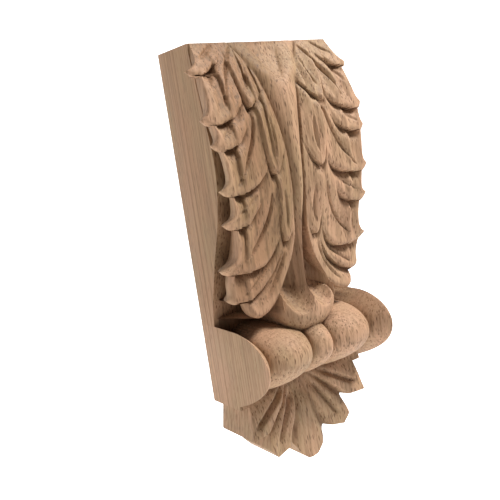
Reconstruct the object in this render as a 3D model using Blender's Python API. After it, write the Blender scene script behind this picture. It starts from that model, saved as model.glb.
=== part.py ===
"""Carved acanthus corbel, one block of pale hardwood.

The back is flat and lies in the plane y = 0, the face looks towards -y, and z points up.
The slab's foot is at z = 0, so the pendant leaf hangs below it and the flat top is at TOP.
Places on the face are in millimetres: x out from the centre line, z up from the foot of the
slab, and depth forward from the back. Left and right are mirror images, so every rule below
takes x as a distance from the centre line.
"""

import bmesh
import bpy
import numpy as np

MM = 0.001

# Driving dimensions, in millimetres
HALF_WIDTH = 32.0
TOP = 132.5
PENDANT_DROP = 32.0
ROLL_TOP = 31.4
ROLL_FRONT = 39.8

# Cells across and down the carved face
COLUMNS = 52
BLOCK_ROWS = 62
PENDANT_ROWS = 16

# The first step back from the rim of the face
RIM_STEP = 0.6

# Side profile of the ground that the leaf is carved on, as (z, depth)
GROUND = ((16, 8.3), (35, 9.4), (54.4, 15.4), (73.6, 22.7), (89.6, 25.6), (110, 23.2), (TOP, 19.8))
# Side profile of the highest parts of the leaf
CREST = ((30, 26.8), (46, 28.2), (55, 28.9), (64, 30.4), (77, 33.0), (90, 33.9), (102.4, 33.2),
         (112, 31.2), (121.6, 27.4), (TOP, 20.2))
# The lobes' tips, past this place, droop to the back, and so does the leaf's lower outer corner
TIP_FALL_FROM = 31.0
TIP_FALL_LENGTH = 5.0
TIP_FALL = 1.0
CORNER_FALL_FROM = 18.0
CORNER_FALL_LENGTH = 14.0
CORNER_TOP = 58.0
CORNER_HEIGHT = 12.0
CORNER_FALL = 4.3

# Lower outline of each lobe of the right half of the leaf, as (x, z), from its inner end to its outer end
LOBES = (
    ((20.5, 131), (22.3, 127.4), (25, 124.4), (29, 122), (33.5, 120.9), (36, 121), (37.4, 122.6)),
    ((17.8, 114), (18.8, 111.6), (20.6, 109.4), (23.6, 106.9), (27.5, 105.2), (32.5, 104.4), (35.8, 104.8),
     (37.5, 106.6)),
    ((6, 123), (7.4, 119.4), (9.6, 115.6), (12.4, 112.2), (15, 109.9), (17.2, 109), (18.6, 111.6),
     (19.8, 118), (20.6, 128)),
    ((18.4, 106), (19.8, 102.6), (22.4, 99.2), (26, 97), (30.5, 96), (34, 96.4), (35.8, 98)),
    ((13.2, 91), (14.4, 87.2), (16.6, 84.4), (20, 82.2), (25, 80.9), (30, 80.6), (33.8, 81.3), (35.5, 83)),
    ((3.6, 97), (5, 92.8), (7, 89), (9.4, 86), (11.5, 85.1), (13.2, 88), (14.4, 95), (15, 104)),
    ((17.4, 81), (18.6, 76.6), (21, 72.8), (24.6, 70), (29, 68.9), (33.4, 69.5), (35.4, 71.4)),
    ((9.4, 67), (11.2, 61), (13.6, 56.6), (17, 53.6), (21.4, 52.3), (26, 52), (30, 52.2), (34, 52.9),
     (36.2, 54.8)),
    ((3, 69), (4, 64.6), (5.6, 61.4), (7.6, 60), (9.4, 63), (10.6, 70), (11.2, 80)),
    ((8.6, 60), (12, 52.6), (16.5, 47), (21.5, 43.4), (25, 41.8), (29, 41.2), (31.6, 41.6), (32.8, 43)),
    ((3, 58), (5, 51.6), (8, 45.4), (12, 40.2), (16, 36.8), (20, 35), (23.4, 34.7), (25, 35.8), (25.8, 38),
     (26.2, 41)),
)
# A lobe's lip is on the crest, and it is hollowed this much from there to under the lobe above it
SINK = 2.0
SINK_AT_STEM = 1.0
SINK_FULL_AT = 20.0
SINK_AT_SIDE = 0.1
SINK_SIDE_WIDTH = 5.0
SINK_LENGTH = 15.0
SINK_FADE_AT_TOP = 13.0
# Under each lip a groove is cut in the lobe below, deepest at the lip, and it runs out at the lip's two ends
UNDER_LIP = 3.0
UNDER_LIP_LENGTH = 5.5
UNDER_LIP_INNER_END = 6.0
UNDER_LIP_OUTER_END = 2.0
EDGE_ROUND = 1.9
LIP_DROP = 1.3
SIDE_ROUND = 1.2
SIDE_DROP = 0.5
# The side of the leaf between its tips, as (z, x), and the height in which a lobe flares out from it
LEAF_SIDE = ((40, 30.4), (47, 31.6), (60, 30.2), (77, 31), (90, 32.1), (100, 32.9), (108, 34), (117, 33.4),
             (TOP, 31.2))
TIP_FLARE = 1.5
# Where the leaf's undercut side meets the ground, as (z, x), and how high the side is where that begins
FOOT = ((36, 23.5), (42, 27.0), (60, 26.0), (76, 26.0), (90, 27.5), (100, 30.2), (106, 31.4), (112, 31.8),
        (TOP, 31.8))
LOW_SIDE = 2.5
# Shares of half the grid's columns, from the centre line out: up to the first they keep their place, from
# there to the second they follow the leaf's border, from there to the third they go down its side, and the
# rest lies on the ground
STRETCH_FROM = 0.58
BORDER_AT = 24 / 26
FOOT_AT = 25 / 26
# The leaf's border is looked for from one of these places to the other, in steps
LEAF_STARTS = 18.0
LEAF_ENDS = 39.0
LEAF_STEP = 0.1

# Veins cut in the leaf: start, bend and end of each, and its depth
VEINS = (
    ((22.5, 132), (26, 129), (31, 126.2), 1.1),
    ((15.5, 131), (23, 122), (27.4, 109.6), 1.7),
    ((25, 126), (28.5, 121), (31, 115), 1.1),
    ((13.6, 125.5), (14.6, 119.5), (16.6, 114.6), 1.1),
    ((25.5, 103.6), (28.5, 101.4), (31.5, 99.6), 0.8),
    ((16.6, 107), (17.2, 95), (28.6, 83.2), 1.8),
    ((10.6, 105), (8.6, 97), (10.4, 89.6), 1.2),
    ((20, 79), (24, 75.8), (30, 73.4), 0.8),
    ((13.6, 79), (14, 67), (26, 56.4), 1.8),
    ((8, 79), (6.2, 72), (7.2, 64.4), 1.1),
    ((12.4, 58), (17, 49.4), (27, 44), 1.3),
    ((8.4, 57), (10.6, 48), (18.8, 39.4), 1.5),
)
VEIN_HALF_WIDTH = 0.95

# Half the width of the stem between the two halves of the leaf, as (z, half width)
STEM_EDGE = ((30, 11.5), (36, 12.6), (41, 12.0), (45, 10.0), (50, 7.2), (55, 5.0), (60, 3.7), (66, 2.9),
             (83, 3.3), (96, 4.3), (102, 5.3), (109, 6.6), (119, 9.2), (126, 12.4), (TOP, 16.0))
# The leaf slopes down to the stem on each side
VALLEY_DEPTH = 1.9
VALLEY_WIDTH = 3.2
VALLEY_FOOT = 55.0
VALLEY_FULL = 75.0
# Height of the stem's middle line
STEM_RIDGE = ((29, 28.4), (33, 28.4), (37, 28.4), (45, 27.4), (55, 27.7), (64, 28.9), (81, 31.9), (102, 31.8),
              (119, 28.3), (TOP, 20.2))
STEM_CROWN = 3.0
BAND_CROWN = 1.5
BAND_CROWN_AT_TOP = 0.8
STEM_FOOT = 34.0
# Lower down the stem is a sharp ridge, and two hollows run down beside it into the spoon
HOLLOW_DEPTH = 7.6
HOLLOW_CENTRE = 6.3
HOLLOW_TOP = 80.0
HOLLOW_FULL = 46.0
# The two bands of the fork part at this height, and at the top the gap is this wide to each side
FORK = 116.0
FORK_RUN_IN = 6.0
FORK_GAP = 6.8
FORK_GAP_DEPTH = 0.6

# The spoon that the stem ends in: the front of a ball, with the two hollows run out over its upper part
SPOON_CENTRE_Z = 33.4
SPOON_HALF_WIDTH = 13.6
SPOON_HALF_HEIGHT = 9.3
SPOON_BACK = 25.5
SPOON_FRONT = 31.9
SCOOP_TOP = 43.0
SCOOP_RUN_OUT = 10.5
SCOOP_LENGTH = 11.0
SCOOP_FLOOR = 19.5

# The turned row: where one element ends and the next begins
ROW_GROOVES = (5.2, 25.8)
ROW_WAIST = 0.67
BEAD_RADIUS = 0.83
BALL_RADIUS = 0.88
ROLL_AXIS_Z = 15.0
ROLL_PEAK_Z = 19.2
ROLL_BACK = 12.8
ROLL_CORNER = 30.8
ROLL_CORNER_DROP = 0.7
ROLL_TOP_DEPTH = 19.2

# Outline of the pendant leaf: (x where its line leaves the block, x of the outline, z of the outline)
FAN_FROM = 6.4
PENDANT = ((32.0, 32.0, 0.0), (28.3, 27.6, 0.0), (24.6, 30.0, -12.6), (17.2, 19.4, -12.0),
           (14.8, 21.4, -20.6), (12.3, 18.2, -24.4), (6.15, 8.8, -22.0), (3.7, 5.8, -28.6),
           (1.3, 2.6, -31.6), (0.0, 0.0, -PENDANT_DROP))
FAN_CENTRE_Z = 8.0
FAN_DEPTH = 12.6
FAN_SLOPE = 0.07
FAN_SLOPE_AT_SIDE = 0.12
PENDANT_VEINS = (30.0, 58.0)
VEIN_DEPTH = 1.7
VEIN_WIDTH = 1.5
VEIN_START = 11.0
VEIN_END = 33.0
NOTCH_VALLEY = 16.7
NOTCH_VALLEY_DEPTH = 1.9
NOTCH_VALLEY_WIDTH = 4.5
NOTCH_VALLEY_FROM = 21.0
# Relief of the pendant leaf round its fan, as (degrees from the middle, height)
FAN_RELIEF = ((0, 2.6), (9, 2.3), (15, 1.2), (17.5, 2.6), (24, 2.5), (30, 2.0), (35, 2.4), (39, 1.8),
              (43, 0.2), (44.5, 0.2), (46.5, 3.4), (50, 4.2), (58, 3.8), (66, 3.2), (76, 1.6), (90, 0.4))


def curve_through(points, at):
    """Smooth curve through (place, value) points, in cubic pieces. The slope at a point is that of the line
    between its neighbours."""
    place, value = np.array(points, float).T
    slope = np.gradient(value, place)
    at = np.clip(at, place[0], place[-1])
    piece = np.clip(np.searchsorted(place, at, side="right") - 1, 0, len(place) - 2)
    length = place[piece + 1] - place[piece]
    s = (at - place[piece]) / length
    start = value[piece] * (1 + 2 * s) * (1 - s) ** 2 + slope[piece] * length * s * (1 - s) ** 2
    end = value[piece + 1] * s ** 2 * (3 - 2 * s) - slope[piece + 1] * length * s ** 2 * (1 - s)
    return start + end


def ease(value):
    """0 below 0, 1 above 1, and a smooth rise between."""
    value = np.clip(value, 0, 1)
    return value * value * (3 - 2 * value)


def crest(x, z):
    """Height of the leaf's highest parts: their side profile, less the droop of the tips and of the lower
    corner."""
    tip = np.clip((x - TIP_FALL_FROM) / TIP_FALL_LENGTH, 0, None) ** 1.3
    corner = np.clip((x - CORNER_FALL_FROM) / CORNER_FALL_LENGTH, 0, 1.1) ** 2
    corner = corner * ease((CORNER_TOP - z) / CORNER_HEIGHT)
    droop = (TIP_FALL * tip + CORNER_FALL * corner) * ease((TOP - z) / SINK_FADE_AT_TOP)
    return curve_through(CREST, z) - droop


def lobe_side(outline, z):
    """How far out a lobe goes: to its tip, and above it back to the side of the leaf, by a falling
    exponential."""
    last, tip_z = outline[-1]
    side = curve_through(LEAF_SIDE, z)
    return np.minimum(last, side + (last - side) * np.exp(-np.clip(z - tip_z, 0, None) / TIP_FLARE))


def lobe_covers(outline, x, z):
    """True above the lobe's lower outline, from its inner end out to its side."""
    return (z > curve_through(outline, x)) & (x >= outline[0][0]) & (x <= lobe_side(outline, z))


def lobe(outline, x, z):
    """Depth of one lobe, and nothing outside it. Its lip and its side lie on the crest and are rounded off by
    a square curve. From the lip upwards the lobe is hollow between the stem and the side of the leaf."""
    low = min(z_of for _, z_of in outline)
    above = z - curve_through(outline, x)
    slope = (curve_through(outline, x + 0.05) - curve_through(outline, x - 0.05)) / 0.1
    from_lip = above / np.sqrt(1 + slope ** 2)
    from_side = lobe_side(outline, z) - x
    fade = ease((TOP - z) / SINK_FADE_AT_TOP)
    sink = SINK_AT_STEM + (SINK - SINK_AT_STEM) * ease(x / SINK_FULL_AT)
    sink *= SINK_AT_SIDE + (1 - SINK_AT_SIDE) * ease(from_side / SINK_SIDE_WIDTH)
    up = np.clip((z - low) / SINK_LENGTH, 0, 1)
    depth = crest(x, z) - fade * sink * (1 - (1 - up) ** 2.2)
    depth -= LIP_DROP * np.clip(1 - from_lip / EDGE_ROUND, 0, 1) ** 2
    depth -= SIDE_DROP * np.clip(1 - from_side / SIDE_ROUND, 0, 1) ** 2 * fade
    return np.where(lobe_covers(outline, x, z), depth, -np.inf)


def under_lip(outline, x, z):
    """Depth of the groove under a lobe's lip: it falls off downwards by a square curve, and towards the lip's
    two ends."""
    below = curve_through(outline, x) - z
    outer_end = np.minimum(curve_through(LEAF_SIDE, z), outline[-1][0])
    inner = ease((x - outline[0][0]) / UNDER_LIP_INNER_END)
    outer = ease((outer_end - x) / UNDER_LIP_OUTER_END)
    falling = np.clip(1 - below / UNDER_LIP_LENGTH, 0, 1) ** 2
    return np.where(below > 0, UNDER_LIP * inner * outer * falling, 0)


def cut(line, half_width, x, z):
    """1 on the curved line, falling to 0 at half_width from it and towards both its ends."""
    t = np.linspace(0, 1, 25)[:, None]
    start, bend, end = np.array(line, float)
    points = (1 - t) ** 2 * start + 2 * t * (1 - t) * bend + t ** 2 * end
    step = np.diff(points, axis=0)
    offset_x = x[:, None] - points[:-1, 0]
    offset_z = z[:, None] - points[:-1, 1]
    on_step = np.clip((offset_x * step[:, 0] + offset_z * step[:, 1]) / (step ** 2).sum(axis=1), 0, 1)
    away = np.hypot(offset_x - on_step * step[:, 0], offset_z - on_step * step[:, 1])
    nearest = away.argmin(axis=1)
    row = np.arange(len(x))
    along = (nearest + on_step[row, nearest]) / len(step)
    narrow = np.sqrt(np.clip(4 * along * (1 - along), 0, 1))
    return narrow * np.clip(1 - away[row, nearest] / (half_width * (0.35 + 0.65 * narrow)), 0, 1)


def leaf(x, z):
    """The highest lobe at each point between the stem's edge and the side of the leaf, less the grooves under
    the lips and the veins."""
    depth = np.full(x.shape, -np.inf)
    groove = np.zeros(x.shape)
    for outline in LOBES:
        depth = np.maximum(depth, lobe(outline, x, z))
        groove = np.maximum(groove, under_lip(outline, x, z))
    depth -= groove * ease((TOP - z) / SINK_FADE_AT_TOP)
    for start, bend, end, vein_depth in VEINS:
        depth -= vein_depth * cut((start, bend, end), VEIN_HALF_WIDTH, x, z)
    past_edge = x - curve_through(STEM_EDGE, z)
    valley = VALLEY_DEPTH * np.exp(-np.clip(past_edge, 0, None) / VALLEY_WIDTH)
    valley *= ease((z - VALLEY_FOOT) / (VALLEY_FULL - VALLEY_FOOT)) * ease((TOP - z) / SINK_FADE_AT_TOP)
    depth -= valley
    return np.where(past_edge > 0, depth, -np.inf)


def hollow(x):
    """How far the two hollows beside the ridge lie below it: a parabola that is deepest at HOLLOW_CENTRE."""
    return HOLLOW_DEPTH * (1 - (1 - np.clip(x / HOLLOW_CENTRE, 0, 2)) ** 2)


def stem(x, z):
    """The stem: two bands that part towards the top, one rounded stalk in the middle,
    and from there down a sharp ridge between two hollows."""
    edge = curve_through(STEM_EDGE, z)
    side = np.clip(x / edge, 0, 1)
    fork = np.clip((z - FORK) / (TOP - FORK), 0, 1)
    gap = FORK_GAP * fork ** 0.9
    band = np.clip((x - gap) / np.maximum(edge - gap, 0.1), 0, 1)
    parted = ease((z - FORK) / FORK_RUN_IN)
    fade = ease((TOP - z) / FORK_RUN_IN)
    band_crown = BAND_CROWN_AT_TOP + (BAND_CROWN - BAND_CROWN_AT_TOP) * fade
    crown = STEM_CROWN * (1 - parted) * side ** 2.2 + band_crown * parted * (2 * band - 1) ** 2
    crown += FORK_GAP_DEPTH * parted * fade * (x < gap)
    lower = ease((HOLLOW_TOP - z) / (HOLLOW_TOP - HOLLOW_FULL))
    crown = (1 - lower) * crown + lower * hollow(x)
    return np.where((x < edge + 0.3) & (z > STEM_FOOT), curve_through(STEM_RIDGE, z) - crown, -np.inf)


def spoon(x, z):
    """The spoon under the stem: the front of a ball, cut by the two hollows, which rise in it and run out
    over its lip."""
    out = (x / SPOON_HALF_WIDTH) ** 2 + ((z - SPOON_CENTRE_Z) / SPOON_HALF_HEIGHT) ** 2
    ball = SPOON_BACK + (SPOON_FRONT - SPOON_BACK) * np.sqrt(np.clip(1 - out, 0, 1))
    rise = SCOOP_RUN_OUT * np.clip((SCOOP_TOP - z) / SCOOP_LENGTH, 0, 2) ** 1.8
    scoop = curve_through(STEM_RIDGE, z) - hollow(x) + rise
    return np.where(out < 1, np.minimum(ball, np.maximum(scoop, SCOOP_FLOOR)), -np.inf)


def row_radius(x):
    """Share of the full radius along the turned row: a bead, a ball and an end roll that widens up to the
    side of the slab, with a waist between."""
    bead_end, ball_end = ROW_GROOVES
    from_ball = (x - (bead_end + ball_end) / 2) / (ball_end - bead_end) * 2
    bead = (BEAD_RADIUS - ROW_WAIST) * np.clip(1 - (x / bead_end) ** 2, 0, 1) ** 0.5
    ball = (BALL_RADIUS - ROW_WAIST) * np.clip(1 - from_ball ** 2, 0, 1) ** 0.6
    end = (1 - ROW_WAIST) * np.clip((x - ball_end) / (HALF_WIDTH - ball_end), 0, 1) ** 0.85
    return ROW_WAIST + np.maximum(np.maximum(bead, ball), end)


def rolls(x, z):
    """The turned row: the end roll's side profile, scaled about the row's axis by the radius at x. Its front
    edge is rounded off at the side of the slab."""
    radius = row_radius(x)
    level = ROLL_AXIS_Z + (z - ROLL_AXIS_Z) / radius
    upper = np.clip((level - ROLL_PEAK_Z) / (ROLL_TOP - ROLL_PEAK_Z), 0, 1)
    lower = np.clip((ROLL_PEAK_Z - level) / ROLL_PEAK_Z, 0, 1)
    profile = np.where(level > ROLL_PEAK_Z,
                       ROLL_TOP_DEPTH + (ROLL_FRONT - ROLL_TOP_DEPTH) * np.sqrt(1 - upper ** 2),
                       ROLL_BACK + (ROLL_FRONT - ROLL_BACK) * (1 - lower ** 2.2))
    depth = ROLL_BACK + (profile - ROLL_BACK) * radius
    corner = np.clip((x - ROLL_CORNER) / (HALF_WIDTH - ROLL_CORNER), 0, 1) ** 2
    depth -= ROLL_CORNER_DROP * corner * ease((depth - ROLL_TOP_DEPTH) / (ROLL_FRONT - ROLL_TOP_DEPTH))
    return np.where((level > 0) & (level < ROLL_TOP), depth, -np.inf)


def pendant(x, z):
    """The pendant leaf: it comes forward towards its tips. Its relief fans out from one point: a broad middle
    lobe that parts from the next one near the notch, a vein, a ridge, and the outer lobe over them."""
    down = FAN_CENTRE_Z - z
    reach = np.hypot(x, down)
    angle = np.degrees(np.arctan2(x, np.maximum(down, 0.01)))
    relief = curve_through(FAN_RELIEF, angle) * ease((reach - 7) / 12)
    notch = np.clip(1 - np.abs(angle - NOTCH_VALLEY) / NOTCH_VALLEY_WIDTH, 0, 1)
    relief -= NOTCH_VALLEY_DEPTH * ease((reach - NOTCH_VALLEY_FROM) / 7) * notch
    for vein in PENDANT_VEINS:
        away = np.abs(np.radians(angle - vein)) * reach
        ends = ease((reach - VEIN_START) / 5) * ease((VEIN_END - reach) / 4)
        relief -= VEIN_DEPTH * ends * np.clip(1 - away / VEIN_WIDTH, 0, 1)
    slope = FAN_SLOPE + (FAN_SLOPE_AT_SIDE - FAN_SLOPE) * ease(angle / 40)
    return FAN_DEPTH + slope * reach + relief


def face_depth(x, z):
    """Depth of the carved face at each point: the highest of ground, leaf, stem, spoon and row, and below the
    row the pendant."""
    x = np.abs(x)
    depth = np.maximum(curve_through(GROUND, z), leaf(x, z))
    depth = np.maximum(depth, np.maximum(stem(x, z), spoon(x, z)))
    depth = np.where(z < 8, pendant(x, z), depth)
    return np.maximum(depth, rolls(x, z))


def face_reach(z):
    """How far out the leaf goes at each height: the outermost place that a lobe covers, or 0 where none
    is."""
    places = np.arange(LEAF_STARTS, LEAF_ENDS, LEAF_STEP)
    x = np.tile(places, len(z))
    heights = np.repeat(z, len(places))
    covered = np.zeros(x.shape, bool)
    for outline in LOBES:
        covered |= lobe_covers(outline, x, heights)
    return np.where(covered.reshape(len(z), -1), places, 0).max(axis=1)


def place_on_face(u, v):
    """x, depth and z of a grid point. u runs from -1 to 1 across. v runs from 1 at the top to 0 where the
    pendant's lines leave the block, and on to -1 at the outline of the foot."""
    z = FAN_FROM + (TOP - FAN_FROM) * v
    share = np.abs(u)
    heights, row = np.unique(z.round(6), return_inverse=True)
    border = face_reach(heights)[row.reshape(-1)]
    plain = share * HALF_WIDTH
    out = np.clip((share - STRETCH_FROM) / (BORDER_AT - STRETCH_FROM), 0, 1)
    on_leaf = plain + (border - BORDER_AT * HALF_WIDTH) * out ** 1.3
    down = np.clip((share - BORDER_AT) / (FOOT_AT - BORDER_AT), 0, 1)
    along = np.clip((share - FOOT_AT) / (1 - FOOT_AT), 0, 1)
    leaf_rows = border > 0
    ground = curve_through(GROUND, z)
    at_border = face_depth(border, z)
    level_foot = (np.minimum(border, HALF_WIDTH) + HALF_WIDTH) / 2
    undercut_foot = np.minimum(curve_through(FOOT, z), border - 0.2)
    foot = level_foot + (undercut_foot - level_foot) * ease((at_border - ground) / LOW_SIDE)
    x = on_leaf + (foot - border) * down ** 2 + (HALF_WIDTH - foot) * along
    x = np.where(share > BORDER_AT, x - (plain - BORDER_AT * HALF_WIDTH), x)
    x = np.where(leaf_rows, x, plain)
    front = face_depth(np.where(leaf_rows, np.minimum(x, border), x), z)
    side = at_border + (ground - at_border) * down
    depth = np.where(leaf_rows & (share > BORDER_AT), side, front)
    leaves, outline_x, outline_z = np.array(PENDANT[::-1]).T
    below = np.clip(-v, 0, 1)
    fan_x = plain + (np.interp(plain, leaves, outline_x) - plain) * below
    fan_z = FAN_FROM + (np.interp(plain, leaves, outline_z) - FAN_FROM) * below
    fan_depth = face_depth(fan_x, fan_z)
    on_fan = v <= 0
    return (np.sign(u) * np.where(on_fan, fan_x, x), np.where(on_fan, fan_depth, depth),
            np.where(on_fan, fan_z, z))


def read_points(bm):
    return np.array([vertex.co for vertex in bm.verts])


def carved_block():
    """A flat grid is carved by the rules above, its rim is drawn back in two steps, and the back is
    closed."""
    bm = bmesh.new()
    bmesh.ops.create_grid(bm, x_segments=COLUMNS, y_segments=BLOCK_ROWS + PENDANT_ROWS, size=1)
    grid = read_points(bm)
    rows = BLOCK_ROWS + PENDANT_ROWS
    row = np.rint((1 - grid[:, 1]) / 2 * rows)
    v = np.where(row <= BLOCK_ROWS, 1 - row / BLOCK_ROWS, (BLOCK_ROWS - row) / PENDANT_ROWS)
    x, depth, z = place_on_face(grid[:, 0], v)
    for vertex, place in zip(bm.verts, np.stack([x, -depth, z], axis=1)):
        vertex.co = place
    rim = [edge for edge in bm.edges if edge.is_boundary]
    step = bmesh.ops.extrude_edge_only(bm, edges=rim)["geom"]
    ring = [item for item in step if isinstance(item, bmesh.types.BMVert)]
    for vertex in ring:
        vertex.co.y += RIM_STEP
    rim = [item for item in step if isinstance(item, bmesh.types.BMEdge)]
    step = bmesh.ops.extrude_edge_only(bm, edges=rim)["geom"]
    for item in step:
        if isinstance(item, bmesh.types.BMVert):
            item.co.y = 0
    rim = [item for item in step if isinstance(item, bmesh.types.BMEdge)]
    bmesh.ops.contextual_create(bm, geom=rim)
    bmesh.ops.recalc_face_normals(bm, faces=bm.faces)
    bmesh.ops.scale(bm, vec=(MM, MM, MM), verts=bm.verts)
    mesh = bpy.data.meshes.new("carved_corbel")
    bm.to_mesh(mesh)
    bm.free()
    return mesh


def pale_wood():
    material = bpy.data.materials.new("pale_wood")
    material.use_nodes = True
    shader = material.node_tree.nodes["Principled BSDF"]
    shader.inputs["Base Color"].default_value = (0.42, 0.27, 0.17, 1)
    shader.inputs["Roughness"].default_value = 0.7
    shader.inputs["Metallic"].default_value = 0.0
    return material


def main():
    for item in list(bpy.data.objects):
        bpy.data.objects.remove(item)
    collection = bpy.data.collections.new("corbel")
    bpy.context.scene.collection.children.link(collection)
    mesh = carved_block()
    mesh.materials.append(pale_wood())
    mesh.shade_smooth()
    mesh.set_sharp_from_angle(angle=np.radians(35))
    collection.objects.link(bpy.data.objects.new("carved_corbel", mesh))


main()
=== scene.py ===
# %% [markdown]
# A carved wooden corbel, of the kind that is glued under a mantel shelf or on a cabinet.
# It is one block of pale rubberwood: a slab with a flat back, an acanthus leaf in two halves on
# its front, a stem between them that ends in a spoon, a turned row of rolls, and a small
# hanging leaf under it. This notebook works the whole carved face out as one function that
# gives a depth for every place on the front, and then gives it wood that is solid all through.

import bpy
import numpy as np
from mathutils import Matrix, Vector


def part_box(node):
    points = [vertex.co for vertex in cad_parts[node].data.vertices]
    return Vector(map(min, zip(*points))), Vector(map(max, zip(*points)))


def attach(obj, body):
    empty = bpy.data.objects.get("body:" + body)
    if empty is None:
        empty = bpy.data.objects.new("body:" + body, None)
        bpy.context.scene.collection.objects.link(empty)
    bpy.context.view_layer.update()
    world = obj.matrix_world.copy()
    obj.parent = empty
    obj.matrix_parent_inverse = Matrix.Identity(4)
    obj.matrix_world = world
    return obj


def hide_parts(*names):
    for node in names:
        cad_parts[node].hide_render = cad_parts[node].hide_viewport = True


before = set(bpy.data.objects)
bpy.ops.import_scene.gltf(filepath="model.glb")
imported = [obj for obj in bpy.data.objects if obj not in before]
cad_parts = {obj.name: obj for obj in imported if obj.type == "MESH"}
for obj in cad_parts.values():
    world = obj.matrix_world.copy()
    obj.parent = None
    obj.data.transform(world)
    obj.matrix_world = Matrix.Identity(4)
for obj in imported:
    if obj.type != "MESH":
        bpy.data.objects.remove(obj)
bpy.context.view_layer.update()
low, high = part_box("carved_corbel")
MM = 0.001
print("CAD box in mm:", [round(side / MM, 1) for side in (high - low)])

# %% [markdown]
# A carver starts from the slab, with the leaf drawn on its front. All places below are in
# millimetres as they would be marked there: x out from the centre line, z up from the slab's
# foot, and depth forward from the flat back. Left and right halves are drawn from the same
# pattern, so a rule takes x as a distance from the centre line.

# %% Sizes of the block
HALF_WIDTH = 32.0
TOP = 132.5
PENDANT_DROP = 32.0
ROLL_TOP = 31.4
ROLL_FRONT = 39.8
print("the slab is", 2 * HALF_WIDTH, "mm wide, and the whole piece", TOP + PENDANT_DROP, "mm tall")

# %% [markdown]
# Two small tools are used all the time. One draws a smooth curve through a few measured
# points, as a carver bends a thin lath through marks. The other is a soft step, for places
# where one surface runs into the next.

# %% A curve through points, and a soft step
def curve_through(points, at):
    """Smooth curve through (place, value) points, in cubic pieces. The slope at a point is that of the line
    between its neighbours."""
    place, value = np.array(points, float).T
    slope = np.gradient(value, place)
    at = np.clip(at, place[0], place[-1])
    piece = np.clip(np.searchsorted(place, at, side="right") - 1, 0, len(place) - 2)
    length = place[piece + 1] - place[piece]
    s = (at - place[piece]) / length
    start = value[piece] * (1 + 2 * s) * (1 - s) ** 2 + slope[piece] * length * s * (1 - s) ** 2
    end = value[piece + 1] * s ** 2 * (3 - 2 * s) - slope[piece + 1] * length * s ** 2 * (1 - s)
    return start + end


def ease(value):
    """0 below 0, 1 above 1, and a smooth rise between."""
    value = np.clip(value, 0, 1)
    return value * value * (3 - 2 * value)


arch = curve_through(((0, 0), (1, 2), (2, 0)), np.array([0.5, 1.0]))
print("a curve through (0, 0), (1, 2), (2, 0) is", arch, "at 0.5 and 1")

# %% [markdown]
# Seen from the side, the leaf swells out in the middle of the slab and runs back into it at
# the top, and behind it the ground that was cut away follows the same swing. These two
# profiles carry everything else. Drawing them as curves keeps the swell smooth.

# %% Side profiles of the ground and of the leaf
# Side profile of the ground that the leaf is carved on, as (z, depth)
GROUND = ((16, 8.3), (35, 9.4), (54.4, 15.4), (73.6, 22.7), (89.6, 25.6), (110, 23.2), (TOP, 19.8))
# Side profile of the highest parts of the leaf
CREST = ((30, 26.8), (46, 28.2), (55, 28.9), (64, 30.4), (77, 33.0), (90, 33.9), (102.4, 33.2),
         (112, 31.2), (121.6, 27.4), (TOP, 20.2))
# The lobes' tips, past this place, droop to the back, and so does the leaf's lower outer corner
TIP_FALL_FROM = 31.0
TIP_FALL_LENGTH = 5.0
TIP_FALL = 1.0
TIP_FALL_POWER = 1.3
CORNER_FALL_FROM = 18.0
CORNER_FALL_LENGTH = 14.0
CORNER_TOP = 58.0
CORNER_HEIGHT = 12.0
CORNER_FALL = 4.3
CORNER_FALL_LIMIT = 1.1
SINK_FADE_AT_TOP = 13.0


def crest(x, z):
    """Height of the leaf's highest parts: their side profile, less the droop of the tips and of the lower
    corner."""
    tip = np.clip((x - TIP_FALL_FROM) / TIP_FALL_LENGTH, 0, None) ** TIP_FALL_POWER
    corner = np.clip((x - CORNER_FALL_FROM) / CORNER_FALL_LENGTH, 0, CORNER_FALL_LIMIT) ** 2
    corner = corner * ease((CORNER_TOP - z) / CORNER_HEIGHT)
    droop = (TIP_FALL * tip + CORNER_FALL * corner) * ease((TOP - z) / SINK_FADE_AT_TOP)
    return curve_through(CREST, z) - droop


print("the leaf is deepest at", curve_through(CREST, np.linspace(30, TOP, 200)).max().round(1), "mm")

# %% [markdown]
# Half of the leaf has eleven lobes in four tiers, and each tier lies over the one below like
# roof shingles. A lobe could be modelled as a petal of its own, but on the real piece they are
# one surface with steps. So each lobe is only its lower outline: above that line its lip stands
# on the crest of the leaf, and further up it sinks, until it is under the tier above.

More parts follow.
